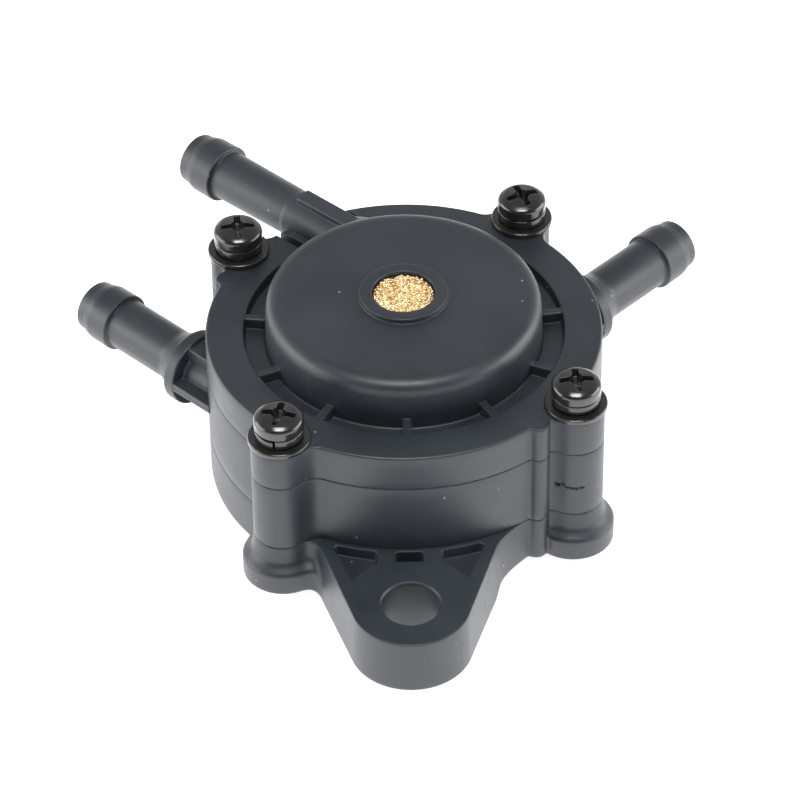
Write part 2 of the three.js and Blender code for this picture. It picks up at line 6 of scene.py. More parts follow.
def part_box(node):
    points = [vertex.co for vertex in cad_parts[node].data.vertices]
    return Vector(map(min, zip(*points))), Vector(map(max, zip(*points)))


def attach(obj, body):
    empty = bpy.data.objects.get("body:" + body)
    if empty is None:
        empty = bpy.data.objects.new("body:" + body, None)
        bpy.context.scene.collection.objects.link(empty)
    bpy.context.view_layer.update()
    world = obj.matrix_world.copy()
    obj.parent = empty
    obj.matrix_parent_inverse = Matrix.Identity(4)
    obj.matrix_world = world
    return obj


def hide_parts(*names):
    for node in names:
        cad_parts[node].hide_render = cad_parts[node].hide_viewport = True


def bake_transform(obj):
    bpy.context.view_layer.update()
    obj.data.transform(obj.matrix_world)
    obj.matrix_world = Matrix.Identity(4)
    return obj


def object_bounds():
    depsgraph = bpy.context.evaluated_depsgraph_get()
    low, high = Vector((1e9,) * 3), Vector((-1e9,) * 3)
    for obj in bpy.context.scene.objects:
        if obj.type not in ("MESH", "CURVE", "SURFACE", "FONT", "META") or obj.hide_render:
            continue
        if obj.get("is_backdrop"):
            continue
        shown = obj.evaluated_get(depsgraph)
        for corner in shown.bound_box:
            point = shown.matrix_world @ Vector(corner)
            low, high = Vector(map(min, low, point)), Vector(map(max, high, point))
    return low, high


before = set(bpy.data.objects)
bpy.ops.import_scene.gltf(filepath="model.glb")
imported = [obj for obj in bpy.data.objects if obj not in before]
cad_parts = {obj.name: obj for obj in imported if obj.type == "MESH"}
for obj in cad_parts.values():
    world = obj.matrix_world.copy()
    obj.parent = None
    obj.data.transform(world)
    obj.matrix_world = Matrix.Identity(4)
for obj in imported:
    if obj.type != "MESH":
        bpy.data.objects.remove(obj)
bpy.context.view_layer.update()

# ---- lower body ----
# Glass-filled nylon moulding: closed floor, four screw feet and two mounting ears on its sides.
# Moulded in one shot, so every wall drafts a little and every edge is eased.
mm = 0.001


def box_mm(node):
    """Lowest and highest corner of a CAD node, in millimetres."""
    low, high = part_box(node)
    return np.array(low) / mm, np.array(high) / mm


def ease(corners, steps=5):
    """Open line through corners (a, b, fillet), each rounded: the point at share t of a fillet is
    (1-t)^2 start + 2t(1-t) corner + t^2 end, with start and end on the two legs."""
    corners = np.array(corners, float)
    points, fillet = corners[:, :2], corners[:, 2]
    legs = np.diff(points, axis=0)
    length = np.maximum(np.hypot(legs[:, 0], legs[:, 1]), 1e-9)
    unit = legs / length[:, None]
    turn = np.arccos(np.clip((unit[:-1] * unit[1:]).sum(1), -1, 1))
    reach = fillet[1:-1] * np.tan(np.minimum(turn, 3) / 2)
    reach = np.minimum(reach, 0.49 * np.minimum(length[:-1], length[1:]))[:, None, None]
    share = np.linspace(0, 1, steps)[None, :, None]
    middle = points[1:-1, None]
    start = middle - reach * unit[:-1, None]
    end = middle + reach * unit[1:, None]
    bends = (1 - share) ** 2 * start + 2 * share * (1 - share) * middle + share**2 * end
    line = np.concatenate([points[:1], bends.reshape(-1, 2), points[-1:]])
    gap = np.hypot(*np.diff(line, axis=0).T)
    return line[np.concatenate([[True], gap > 1e-5])]


def outline(corners, fillet, steps=6):
    """Closed outline through corners, anticlockwise, each corner rounded to the same fillet."""
    corners = np.array(corners, float)
    first = (corners[0] + corners[-1]) / 2
    path = np.concatenate([[first], corners, [first]])
    return ease(np.column_stack([path, np.full(len(path), fillet)]), steps)[:-1]


def skin(name, rings, loop=False):
    """Mesh over a grid of rings x points x 3, in millimetres. Each ring closes on itself. The first and
    last ring close on their own middle points, or on each other when loop is set."""
    rings = np.asarray(rings, float)
    count, around = rings.shape[:2]
    index = np.arange(count * around).reshape(count, around)
    near, far = (index, np.roll(index, -1, 0)) if loop else (index[:-1], index[1:])
    quads = np.stack([near, np.roll(near, -1, 1), np.roll(far, -1, 1), far], -1).reshape(-1, 4)
    points = rings.reshape(-1, 3)
    fans = np.zeros((0, 3), int)
    if not loop:
        points = np.vstack([points, rings[0].mean(0), rings[-1].mean(0)])
        bottom = np.full(around, count * around)
        first, last = index[0], index[-1]
        fans = np.vstack(
            [
                np.column_stack([bottom, np.roll(first, -1), first]),
                np.column_stack([bottom + 1, last, np.roll(last, -1)]),
            ]
        )
    mesh = bpy.data.meshes.new(name)
    mesh.from_pydata((points * mm).tolist(), [], quads.tolist() + fans.tolist())
    piece = bpy.data.objects.new(name, mesh)
    bpy.context.scene.collection.objects.link(piece)
    return piece


def carried(name, section, along, size, base=(0, 0, 0), heading=None):
    """Section (across, up) carried along a straight axis from base: at distance `along` it is scaled by
    `size`, one number or a pair. The axis is +Z, or level at angle `heading` with `up` along +Z."""
    axis = np.eye(3)
    if heading is not None:
        forward = np.array([np.cos(heading), np.sin(heading), 0])
        axis = np.array([[-forward[1], forward[0], 0], [0, 0, 1], forward])
    size = np.array(size, float)
    size = np.broadcast_to(size.reshape(len(size), -1), (len(size), 2))
    grown = np.asarray(section)[None] * size[:, None]
    along = np.array(along, float)[:, None, None]
    rings = np.array(base) + grown[..., :1] * axis[0] + grown[..., 1:] * axis[1] + along * axis[2]
    return skin(name, rings)


def turned(name, profile, base=(0, 0, 0), heading=None, around=64):
    """Solid of revolution: profile rows are (distance along the axis, radius)."""
    profile = np.asarray(profile, float)
    angle = np.linspace(0, 2 * np.pi, around, endpoint=False)
    circle = np.column_stack([np.cos(angle), np.sin(angle)])
    return carried(name, circle, profile[:, 0], profile[:, 1], base, heading)


def bar(name, low, high, fillet=0.05):
    """Upright block between two corners, its four upright edges rounded."""
    (x0, y0, z0), (x1, y1, z1) = low, high
    return carried(name, outline([(x0, y0), (x1, y0), (x1, y1), (x0, y1)], fillet, 3), [z0, z1], [1, 1])


def fused(name, stock, joined=(), removed=()):
    """Stock with the joined shapes added and then the removed shapes cut away, as one closed mesh."""
    for kind, shapes in (("UNION", joined), ("DIFFERENCE", removed)):
        for shape in shapes:
            step = stock.modifiers.new(kind, "BOOLEAN")
            step.operation = kind
            step.solver = "MANIFOLD"
            step.object = shape
    bpy.context.view_layer.update()
    whole = stock.evaluated_get(bpy.context.evaluated_depsgraph_get())
    mesh = bpy.data.meshes.new_from_object(whole)
    mesh.materials.clear()
    stock.modifiers.clear()
    stock.data = mesh
    stock.name = mesh.name = name
    for shape in (*joined, *removed):
        bpy.data.objects.remove(shape)
    return stock


def smooth(piece, angle=32):
    """Smooth shading up to a fold angle, with the flat faces' own normals kept where they meet a fillet."""
    piece.data.shade_smooth()
    piece.data.set_sharp_from_angle(angle=np.radians(angle))
    even = piece.modifiers.new("even_normals", "WEIGHTED_NORMAL")
    even.keep_sharp = True
    even.weight = 90
    return piece


def disc_field(x, y, centre, radius):
    """Distance outside a circle: the way to its centre less its radius."""
    return np.hypot(x - centre[0], y - centre[1]) - radius


def round_join(a, b, fillet):
    """Two outlines as one with a hollow fillet f: max(f, min(a, b)) less the length of (f - a, f - b),
    each of those no less than 0."""
    corner = np.hypot(np.maximum(fillet - a, 0), np.maximum(fillet - b, 0))
    return np.maximum(fillet, np.minimum(a, b)) - corner


places = ("front_right", "back_right", "back_left", "front_left")
screw_at = {place: sum(box_mm(f"screw_{place}"))[:2] / 2 for place in places}
wall = 27.0
key_pitch = 26.8
key_radius = 1.5
key_angles = np.radians([-49.5, 155])


def body_field(x, y, boss, fillet):
    """Distance outside the body wall with its four screw bosses and two half-round keys."""
    field = disc_field(x, y, (0, 0), wall)
    for centre in screw_at.values():
        field = round_join(field, disc_field(x, y, centre, boss), fillet)
    for angle in key_angles:
        centre = key_pitch * np.cos(angle), key_pitch * np.sin(angle)
        field = round_join(field, disc_field(x, y, centre, key_radius), 0.35)
    return field


def wall_radius(field, angle, start):
    """Radius of the wall in each direction: from `start`, steps inwards of 0.55 of the distance left."""
    radius = np.broadcast_to(float(start), angle.shape).copy()
    for _ in range(170):
        radius -= 0.55 * field(radius * np.cos(angle), radius * np.sin(angle))
    return radius


def even_angles(field, start, count):
    """Angles that cut the outline into steps of equal length."""
    angle = np.linspace(-np.pi, np.pi, 6001)
    radius = wall_radius(field, angle, start)
    step = np.hypot(*np.diff(np.stack([radius * np.cos(angle), radius * np.sin(angle)]), axis=1))
    run = np.concatenate([[0], np.cumsum(step)])
    return np.interp(np.linspace(0, run[-1], count, endpoint=False), run, angle)


def raise_rings(radius, height, angle):
    """Rings x points x 3 from radius and height on the same angles."""
    radius, height, angle = np.broadcast_arrays(radius, height, angle)
    return np.stack([radius * np.cos(angle), radius * np.sin(angle), height], -1)


lower_low, lower_high = box_mm("lower_body")
seam_low = lower_high[2]
underside = 1.1
ear_tip = 8.15
ear_hole_y = lower_high[1] - ear_tip
sheet_recess = 22.35
chamber_radius = 20.0
foot_radius = 5.5
boss_radius = 3.9
boss_fillet = 2.2


def ear_field(x, y, tip, lean):
    """Distance outside a round-nosed wedge, mirrored for both ears: beside the flanks it is
    |x| cos(lean) - s sin(lean) - tip with s the way from the hole to the body, else a circle's."""
    along = ear_hole_y - np.abs(y)
    flank = np.abs(x) * np.cos(lean) - along * np.sin(lean) - tip
    nose = np.hypot(x, along) - tip
    return np.where(np.abs(x) * np.sin(lean) + along * np.cos(lean) > 0, flank, nose)


def lower_field(x, y, share):
    """Distance outside the lower body at a share of its height: feet below, cones, bosses above."""
    level = underside + share * (seam_low - underside)
    foot = np.interp(level, [4.0, 4.35, 5.3, 5.7, 8.05], [foot_radius, 5.35, 4.4, 4.2, boss_radius])
    fillet = np.interp(level, [4.0, 5.7], [1.1, boss_fillet])
    ear = ear_field(x, y, ear_tip + 0.15 - 0.3 * share, np.radians(18.6 - 1.1 * share))
    return round_join(body_field(x, y, foot, fillet), ear, 2.6)


def step_up(value):
    """Smooth step from 0 to 1: 3v^2 - 2v^3."""
    value = np.clip(value, 0, 1)
    return value * value * (3 - 2 * value)


def underside_height(x, y):
    """Height of the bottom face: the ears drop to their mounting pads outside the body wall."""
    ear = step_up((np.abs(y) - 26.7) / 2.4) * step_up((13.6 - np.abs(x)) / 1.0)
    return underside * (1 - ear)


lower_angle = even_angles(lambda x, y: lower_field(x, y, 0.0), 52, 900)
share = np.array([0, 0.1, 0.2, 0.3, 0.38, 0.417, 0.44, 0.468, 0.5, 0.55, 0.6, 0.635, 0.66, 0.75, 0.88, 1])
lower_radius = wall_radius(
    lambda x, y: lower_field(x, y, share[:, None]), np.tile(lower_angle, (len(share), 1)), 52
)
foot_edge = 0.35
top_edge = 0.22
quarter = np.radians([0, 22.5, 45, 67.5])[:, None]
across = np.array([0.08, 0.3, 0.5, 0.57, 0.59, 0.61, 0.63, 0.65, 0.67, 0.72, 0.85, 0.96])[:, None]
floor_rings = raise_rings(across * (lower_radius[:1] - foot_edge), 0, lower_angle)
edge_rings = raise_rings(lower_radius[:1] - foot_edge * (1 - np.sin(quarter)), 0, lower_angle)
wall_rings = raise_rings(lower_radius, 0, lower_angle)
for rings in (floor_rings, edge_rings, wall_rings):
    rings[..., 2] = underside_height(rings[..., 0], rings[..., 1])
edge_rings[..., 2] += foot_edge * (1 - np.cos(quarter))
wall_low = wall_rings[..., 2] + foot_edge
wall_rings[..., 2] = wall_low + share[:, None] * (seam_low - top_edge - wall_low)
ease_rings = raise_rings(
    lower_radius[-1:] - top_edge * (1 - np.cos(quarter[1:])),
    seam_low - top_edge * (1 - np.sin(quarter[1:])),
    lower_angle,
)
rim = lower_radius[-1:] - top_edge
rim_rings = raise_rings(
    rim + np.linspace(0, 1, 6)[:, None] * (sheet_recess - rim), seam_low, lower_angle
)
chamber_floor = 3.0
bowl = ease(
    [
        (sheet_recess, seam_low - 0.1, 0),
        (sheet_recess, seam_low - 0.5, 0.05),
        (chamber_radius, seam_low - 0.5, 0.2),
        (chamber_radius, chamber_floor, 1.0),
        (2, chamber_floor, 0),
    ]
)
bowl_rings = raise_rings(bowl[:, :1], bowl[:, 1:], lower_angle)
lower_blank = skin(
    "lower_blank",
    np.concatenate([floor_rings, edge_rings, wall_rings, ease_rings, rim_rings, bowl_rings]),
)

pocket_depth = 1.5
slot_depth = 4.0
ring_radius = 9.0
ring_x = np.linspace(4.3, 7.7, 5)
ring_y = np.sqrt(ring_radius**2 - ring_x**2) - ear_hole_y
pocket_corner = [
    (4.3, -27.35),
    *np.column_stack([ring_x, ring_y]),
    (10.15, -26.4),
    (9.7, -25.9),
    (7.1, -26.7),
]
slot_corner = [(-1.9, -27.5), (-1.9, -29.4), (1.9, -29.4), (1.9, -27.5)]


def pocket(name, corners, depth, side_x, side_y):
    """Drafted pocket cutter: the rounded outline, shrunk towards its middle as it goes down."""
    corners = np.array(corners) * (side_x, side_y)
    if side_x * side_y < 0:
        corners = corners[::-1]
    middle = corners.mean(0)
    shape = outline(corners - middle, 0.45)
    level = [-depth, -depth + 0.25, -0.15, 0, 0.4]
    size = [0.92, 0.95, 0.99, 1.03, 1.2]
    return carried(name, shape, level, size, (*middle, seam_low))


pockets = [
    pocket(f"pocket_{sx}_{sy}", pocket_corner, pocket_depth, sx, sy) for sx in (-1, 1) for sy in (-1, 1)
] + [pocket(f"slot_{sy}", slot_corner, slot_depth, 1, sy) for sy in (-1, 1)]
ear_holes = [
    turned(
        "ear_hole",
        [(-1, 5.1), (0.25, 3.95), (0.5, 3.86), (7.6, 3.86), (7.85, 3.95), (9, 5.1)],
        (0, side * ear_hole_y, 0),
        around=96,
    )
    for side in (-1, 1)
]
thread_holes = [
    turned("thread_hole", [(3.05, 1.4), (3.7, 2.06), (9.0, 2.06)], (*at, 0), around=40)
    for at in screw_at.values()
]
centre_pad = turned("centre_pad", ease([(0, 7.4, 0), (0, 8, 0.3), (1.6, 8, 0)]), around=96)
lower_divider = bar("divider", (-0.9, -20.5, 2.5), (0.9, 20.5, seam_low - 0.5))
lower = fused(
    "lower_moulding", lower_blank, [centre_pad, lower_divider], pockets + ear_holes + thread_holes
)


def group(name, inputs, outputs):
    """Empty shader node group with named number inputs and outputs."""
    tree = bpy.data.node_groups.new(name, "ShaderNodeTree")
    for label, value in inputs.items():
        tree.interface.new_socket(label, in_out="INPUT", socket_type="NodeSocketFloat").default_value = value
    for label, kind in outputs.items():
        tree.interface.new_socket(label, in_out="OUTPUT", socket_type=kind)
    return tree, tree.nodes.new("NodeGroupInput"), tree.nodes.new("NodeGroupOutput")


def node(tree, kind, settings=None, **sockets):
    """New node: settings are its own properties, sockets are values or links, spaces written as _."""
    made = tree.nodes.new(kind)
    for label, value in (settings or {}).items():
        setattr(made, label, value)
    for label, value in sockets.items():
        socket = made.inputs[int(label[1:]) if label[1:].isdigit() else label.replace("_", " ")]
        if isinstance(value, bpy.types.NodeSocket):
            tree.links.new(value, socket)
        else:
            socket.default_value = value
    return made


def maths(tree, kind, *values):
    """Math node on one to three numbers or links; its result socket."""
    return node(
        tree, "ShaderNodeMath", {"operation": kind}, **{f"n{i}": v for i, v in enumerate(values)}
    ).outputs[0]


def ramp(tree, value, low, high, start=0.0, end=1.0):
    """Straight map of a value from low..high to start..end, clamped."""
    made = node(
        tree, "ShaderNodeMapRange", None, Value=value, From_Min=low, From_Max=high, To_Min=start, To_Max=end
    )
    return made.outputs["Result"]


def new_material(name, **principled):
    """Material with one Principled shader; fixed values go on its own sockets."""
    material = bpy.data.materials.new(name)
    material.use_nodes = True
    shader = material.node_tree.nodes["Principled BSDF"]
    for label, value in principled.items():
        shader.inputs[label.replace("_", " ")].default_value = value
    return material, material.node_tree, shader


# Mould grain: two sizes of fine noise for height, and a slow cloud for colour and gloss.
grain_group, grain_in, grain_out = group(
    "mould_grain",
    {"Fine": 4200.0, "Cloud": 90.0},
    {"Height": "NodeSocketFloat", "Cloud": "NodeSocketFloat", "Speck": "NodeSocketFloat"},
)
place_on = node(grain_group, "ShaderNodeTexCoord").outputs["Object"]
fine = node(
    grain_group, "ShaderNodeTexNoise", None, Vector=place_on, Scale=grain_in.outputs["Fine"], Detail=3.0
)
coarse = node(grain_group, "ShaderNodeTexNoise", None, Vector=place_on, Scale=900.0, Detail=2.0)
cloud = node(
    grain_group, "ShaderNodeTexNoise", None, Vector=place_on, Scale=grain_in.outputs["Cloud"], Detail=4.0
)
speck_noise = node(
    grain_group, "ShaderNodeTexVoronoi", None, Vector=place_on, Scale=430.0, Randomness=1.0
)
speck_pick = node(grain_group, "ShaderNodeTexWhiteNoise", None, Vector=speck_noise.outputs["Position"])
speck_near = ramp(grain_group, speck_noise.outputs["Distance"], 0.03, 0.09, 1.0, 0.0)
speck_few = maths(grain_group, "GREATER_THAN", speck_pick.outputs["Value"], 0.8)
height = maths(
    grain_group,
    "ADD",
    maths(grain_group, "MULTIPLY", fine.outputs[0], 0.6),
    maths(grain_group, "MULTIPLY", coarse.outputs[0], 0.4),
)
grain_group.links.new(height, grain_out.inputs["Height"])
grain_group.links.new(cloud.outputs[0], grain_out.inputs["Cloud"])
grain_group.links.new(maths(grain_group, "MULTIPLY", speck_near, speck_few), grain_out.inputs["Speck"])

# Handling marks and edge highlight: short fine scratches in two directions, and a mask of the outer edges
# that paints them lighter, partly as rubbed wear and partly as a painted highlight along the rounded edges.
marks_group, marks_in, marks_out = group(
    "handling_marks_and_edge_highlight", {"Reach": 0.0002}, {"Scratch": "NodeSocketFloat", "Edge": "NodeSocketFloat"}
)
place_on = node(marks_group, "ShaderNodeTexCoord").outputs["Object"]
lines = []
for turn in (0.5, 2.1):
    laid = node(
        marks_group,
        "ShaderNodeMapping",
        None,
        Vector=place_on,
        Rotation=(0.2, 0.1, turn),
        Scale=(60.0, 1500.0, 400.0),
    )
    streak = node(marks_group, "ShaderNodeTexNoise", None, Vector=laid.outputs[0], Scale=1.0, Detail=1.0)
    lines.append(ramp(marks_group, streak.outputs[0], 0.69, 0.74))
patch = node(marks_group, "ShaderNodeTexNoise", None, Vector=place_on, Scale=160.0, Detail=2.0)
scratch = maths(
    marks_group,
    "MULTIPLY",
    maths(marks_group, "MAXIMUM", *lines),
    ramp(marks_group, patch.outputs[0], 0.5, 0.62),
)
soft = node(marks_group, "ShaderNodeBevel", {"samples": 4}, Radius=marks_in.outputs["Reach"])
true = node(marks_group, "ShaderNodeNewGeometry").outputs["Normal"]
meet = node(marks_group, "ShaderNodeVectorMath", {"operation": "DOT_PRODUCT"}, n0=soft.outputs[0], n1=true)
# Edge mask: near 1 on the outer edges; it paints them lighter, partly as wear and partly as a painted
# highlight.
wear_and_highlight = ramp(marks_group, meet.outputs["Value"], 0.96, 0.8)
marks_group.links.new(scratch, marks_out.inputs["Scratch"])
marks_group.links.new(wear_and_highlight, marks_out.inputs["Edge"])


def place_group(tree, source, **values):
    """A shared node group set into a material."""
    return node(tree, "ShaderNodeGroup", {"node_tree": source}, **values).outputs


nylon, tree, shader = new_material("nylon", Metallic=0.0, IOR=1.52)
grain = place_group(tree, grain_group)
marks = place_group(tree, marks_group)
nylon_dark = (0.0102, 0.0146, 0.0196, 1)
nylon_pale = (0.0162, 0.0218, 0.0280, 1)
dust = (0.30, 0.31, 0.32, 1)
tint = node(
    tree,
    "ShaderNodeMix",
    {"data_type": "RGBA"},
    n0=ramp(tree, grain["Cloud"], 0.35, 0.65),
    n6=nylon_dark,
    n7=nylon_pale,
)
# Outer edges painted lighter: partly rubbed wear, partly a painted highlight standing in for light caught on
# the rounded edges.
edge_wear_and_highlight = node(
    tree,
    "ShaderNodeMix",
    {"data_type": "RGBA"},
    n0=maths(tree, "MULTIPLY", marks["Edge"], 0.25),
    n6=tint.outputs[2],
    n7=(0.075, 0.083, 0.088, 1),
)
dusty = node(
    tree,
    "ShaderNodeMix",
    {"data_type": "RGBA"},
    n0=maths(tree, "MULTIPLY", grain["Speck"], 0.8),
    n6=edge_wear_and_highlight.outputs[2],
    n7=dust,
)
tree.links.new(dusty.outputs[2], shader.inputs["Base Color"])
clouded = ramp(tree, grain["Cloud"], 0.3, 0.7, 0.36, 0.46)
gloss = maths(tree, "ADD", clouded, maths(tree, "MULTIPLY", grain["Height"], 0.12))
wear_and_highlight = maths(tree, "SUBTRACT", gloss, maths(tree, "MULTIPLY", marks["Scratch"], 0.1))
tree.links.new(wear_and_highlight, shader.inputs["Roughness"])
edge_normal = node(tree, "ShaderNodeBevel", {"samples": 6}, Radius=0.00022)
relief = node(
    tree,
    "ShaderNodeBump",
    None,
    Strength=0.5,
    Distance=0.00006,
    Height=maths(tree, "SUBTRACT", grain["Height"], maths(tree, "MULTIPLY", marks["Scratch"], 0.5)),
    Normal=edge_normal.outputs[0],
)
tree.links.new(relief.outputs[0], shader.inputs["Normal"])
lower.data.materials.append(nylon)
smooth(lower)
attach(lower, "casing")
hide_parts("lower_body")

# ---- damper membrane ----
# Nitrile rubber sheet clamped in the lower seam: it seals the two chambers and smooths the flow.
# Cut from calendered sheet, with one pressed ring in each half so it can flex.
membrane_low, membrane_high = box_mm("damper_membrane")
rubber_angle = np.linspace(0, 2 * np.pi, 160, endpoint=False)


def sheet(name, radius, low, high, wave):
    """Round sheet with a pressed ring (centre, half width, rise): near the centre both faces go up by
    rise * cos^2 of the distance from it, a quarter turn at the half width."""
    run = np.linspace(1.0, radius, 60)
    centre, width, rise = wave
    dip = rise * np.where(np.abs(run - centre) < width, np.cos((run - centre) / width * np.pi / 2) ** 2, 0)
    radii = np.concatenate([run, run[::-1]])
    height = np.concatenate([low + dip, (high + dip)[::-1]])
    return skin(name, raise_rings(radii[:, None], height[:, None], rubber_angle))


rubber, tree, shader = new_material("nitrile_rubber", Metallic=0.0, Base_Color=(0.012, 0.012, 0.013, 1))
grain = place_group(tree, grain_group, Fine=2600.0, Cloud=140.0)
rubber_tint = node(
    tree,
    "ShaderNodeMix",
    {"data_type": "RGBA"},
    n0=grain["Cloud"],
    n6=(0.010, 0.010, 0.011, 1),
    n7=(0.024, 0.023, 0.022, 1),
)
tree.links.new(rubber_tint.outputs[2], shader.inputs["Base Color"])
tree.links.new(ramp(tree, grain["Cloud"], 0.3, 0.7, 0.62, 0.82), shader.inputs["Roughness"])
relief = node(tree, "ShaderNodeBump", None, Strength=0.4, Distance=0.00003, Height=grain["Height"])
tree.links.new(relief.outputs[0], shader.inputs["Normal"])

membrane = sheet("damper_sheet", 22.3, membrane_low[2], membrane_high[2], (15, 3, -0.35))
membrane.data.materials.append(rubber)
smooth(membrane)
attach(membrane, "casing")
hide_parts("damper_membrane")

# ---- middle body ----
# Glass-filled nylon moulding with both fuel ports, both valve seats and the pump chamber floor.
# The ports are moulded with it: a ribbed neck, a round collar and a barbed hose tube.
middle_low, middle_high = box_mm("middle_body")
seam_high = middle_high[2]
pump_floor = 15.8
web_low = 14.6
cavity_radius = 16.6
seam_edge = 0.2
body_angle = even_angles(lambda x, y: body_field(x, y, boss_radius, boss_fillet), 40, 840)
body_radius = wall_radius(lambda x, y: body_field(x, y, boss_radius, boss_fillet), body_angle, 40)


def wall_stack(low, high, low_edge, high_edge, rows=5):
    """Outer wall from one level to the next as rings, its two edges rounded to quarter circles."""
    turn = np.radians([0, 30, 60, 90])[:, None]
    first = raise_rings(
        body_radius - low_edge * (1 - np.sin(turn)), low + low_edge * (1 - np.cos(turn)), body_angle
    )
    middle = np.linspace(low + low_edge, high - high_edge, rows + 2)[1:-1, None]
    last = raise_rings(
        body_radius - high_edge * (1 - np.cos(turn)), high - high_edge * (1 - np.sin(turn)), body_angle
    )
    return np.concatenate([first, raise_rings(body_radius, middle, body_angle), last])


below = ease(
    [
        (2, web_low, 0),
        (chamber_radius, web_low, 0.8),
        (chamber_radius, seam_low + 0.02, 0),
        (chamber_radius, seam_low, 0),
        (24, seam_low, 0),
    ]
)
above = ease(
    [
        (24, seam_high, 0),
        (sheet_recess, seam_high, 0),
        (sheet_recess, seam_high - 0.6, 0.05),
        (cavity_radius, seam_high - 0.6, 0.2),
        (cavity_radius, pump_floor, 0.8),
        (2, pump_floor, 0),
    ]
)
middle_blank = skin(
    "middle_blank",
    np.concatenate(
        [
            raise_rings(below[:, :1], below[:, 1:], body_angle),
            wall_stack(seam_low, seam_high, seam_edge, seam_edge),
            raise_rings(above[:, :1], above[:, 1:], body_angle),
        ]
    ),
)

tube_radius = 3.6
barb_radius = 4.15
bore_radius = 1.5
fuel_level = (seam_low + seam_high) / 2
ports = {"inlet": (np.radians(135.7), 16.4, 22.8), "outlet": (np.radians(44.4), -6.05, 23.1)}


def port_base(heading, offset, level):
    """Foot of a port axis: the point beside the body axis that it passes."""
    return -offset * np.sin(heading), offset * np.cos(heading), level


def barb(tip, radius):
    """Profile of a hose barb up to the tip: step up, land, taper, small step down, nose."""
    return [
        (tip - 6.12, radius, 0.08),
        (tip - 6.02, barb_radius, 0.22),
        (tip - 2.7, barb_radius - 0.03, 1.6),
        (tip - 1.62, 3.86, 0.12),
        (tip - 1.5, 3.72, 0.1),
        (tip - 0.1, 3.62, 0.3),
        (tip, 3.2, 0.1),
        (tip, 1.9, 0.2),
    ]


def port_bore(tip, from_):
    """Cutter for the bore, opened a little at the mouth."""
    return ease([(from_, bore_radius, 0), (tip - 0.6, bore_radius, 0.3), (tip + 0.5, 2.4, 0)])


collar_radius = 5.3
neck_radius = 3.3
port_parts = []
bores = []
for name, (heading, offset, reach) in ports.items():
    foot = port_base(heading, offset, fuel_level)
    face = np.sqrt(wall**2 - offset**2)
    tip = face + reach
    stem = ease(
        [
            (face - 5, neck_radius, 0),
            (face + 1.95, neck_radius, 0.4),
            (face + 2.0, collar_radius, 0.25),
            (face + 3.7, collar_radius, 0.3),
            (face + 4.2, 4.5, 1.0),
            (face + 6.3, tube_radius, 2.5),
            *barb(tip, tube_radius),
        ],
        7,
    )
    half = np.array([(5.2, -0.65), (5.2, -0.08), (5.08, 0), (5.2, 0.08), (5.2, 0.65)])
    level_rib = outline(np.concatenate([half, -half]), 0.12, 4)
    upright_rib = outline([(-1.9, -4.82), (1.9, -4.82), (1.9, 4.82), (-1.9, 4.82)], 0.3)
    rib_run = [face - 5, face + 2.6]
    port_parts += [
        turned(f"{name}_stem", stem, foot, heading, 72),
        carried(f"{name}_level_rib", level_rib, rib_run, [1, 1], foot, heading),
        carried(f"{name}_upright_rib", upright_rib, rib_run, [1, 1], foot, heading),
    ]
    inside = max(np.sqrt(chamber_radius**2 - offset**2) - 1.5, 0)
    for side in (-1, 1):
        line = np.array([(-0.11, 0), (0, -0.06), (0.11, 0), (0, 0.06)]) + (side * tube_radius, 0)
        bores.append(carried(f"{name}_parting", line, [face + 7, tip - 6.3], [1, 1], foot, heading))
    bores.append(turned(f"{name}_bore", port_bore(tip, inside), foot, heading, 40))

inlet_x = box_mm("inlet_valve_disc")[0][0] + 4.2
outlet_x = box_mm("outlet_valve_disc")[0][0] + 4.2
inlet_seat = box_mm("inlet_valve_disc")[0][2]
valve_pocket = turned("valve_pocket", [(inlet_seat, 5.2), (seam_high + 1, 5.2)], (inlet_x, 0, 0))
seat_boss_face = inlet_seat - 1.2
seat_boss = turned(
    "seat_boss",
    ease([(seat_boss_face, 5.8, 0), (seat_boss_face, 6.4, 0.4), (15.2, 6.4, 0)]),
    (inlet_x, 0, 0),
)


def valve_ports(x, low, high):
    """Six small round holes on a circle, and the guide's hole in their middle."""
    turns = np.radians(np.arange(0, 360, 60))
    around = [
        turned("valve_port", [(low, 0.8), (high, 0.8)], (x + 2.7 * np.cos(t), 2.7 * np.sin(t), 0), around=20)
        for t in turns
    ]
    return around + [turned("guide_hole", [(low, 0.85), (high, 0.85)], (x, 0, 0), around=24)]


middle_divider = bar("divider", (-0.9, -20.5, seam_low), (0.9, 20.5, web_low + 0.5))
clear_holes = [
    turned("clear_hole", [(seam_low - 1, 2.25), (seam_high + 1, 2.25)], (*at, 0), around=40)
    for at in screw_at.values()
]
nick_at = np.array(screw_at["front_right"])
nick_draw = np.random.default_rng(5)
nicks = []
for turn in np.radians([-128, -118, -109, -99, -90, -79]):
    across, high = nick_draw.uniform([0.3, 0.2], [0.7, 0.42])
    rise = 13.0 + nick_draw.uniform(-0.3, 0.3)
    angle = np.linspace(0, 2 * np.pi, 9, endpoint=False)
    uneven = nick_draw.uniform(0.7, 1.2, (9, 1))
    ragged = np.column_stack([across * np.cos(angle), high * np.sin(angle)]) * uneven
    nicks.append(
        carried("nick", ragged, [boss_radius - 0.25, boss_radius + 0.3], [0.6, 1.3], (*nick_at, rise), turn)
    )
middle = fused(
    "middle_moulding",
    middle_blank,
    [middle_divider, seat_boss, *port_parts],
    [
        *bores,
        *nicks,
        valve_pocket,
        *valve_ports(inlet_x, inlet_seat - 2.2, inlet_seat + 1),
        *valve_ports(outlet_x, web_low - 1, pump_floor + 1),
        *clear_holes,
    ],
)
middle.data.materials.append(nylon)
smooth(middle)
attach(middle, "casing")
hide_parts("middle_body")

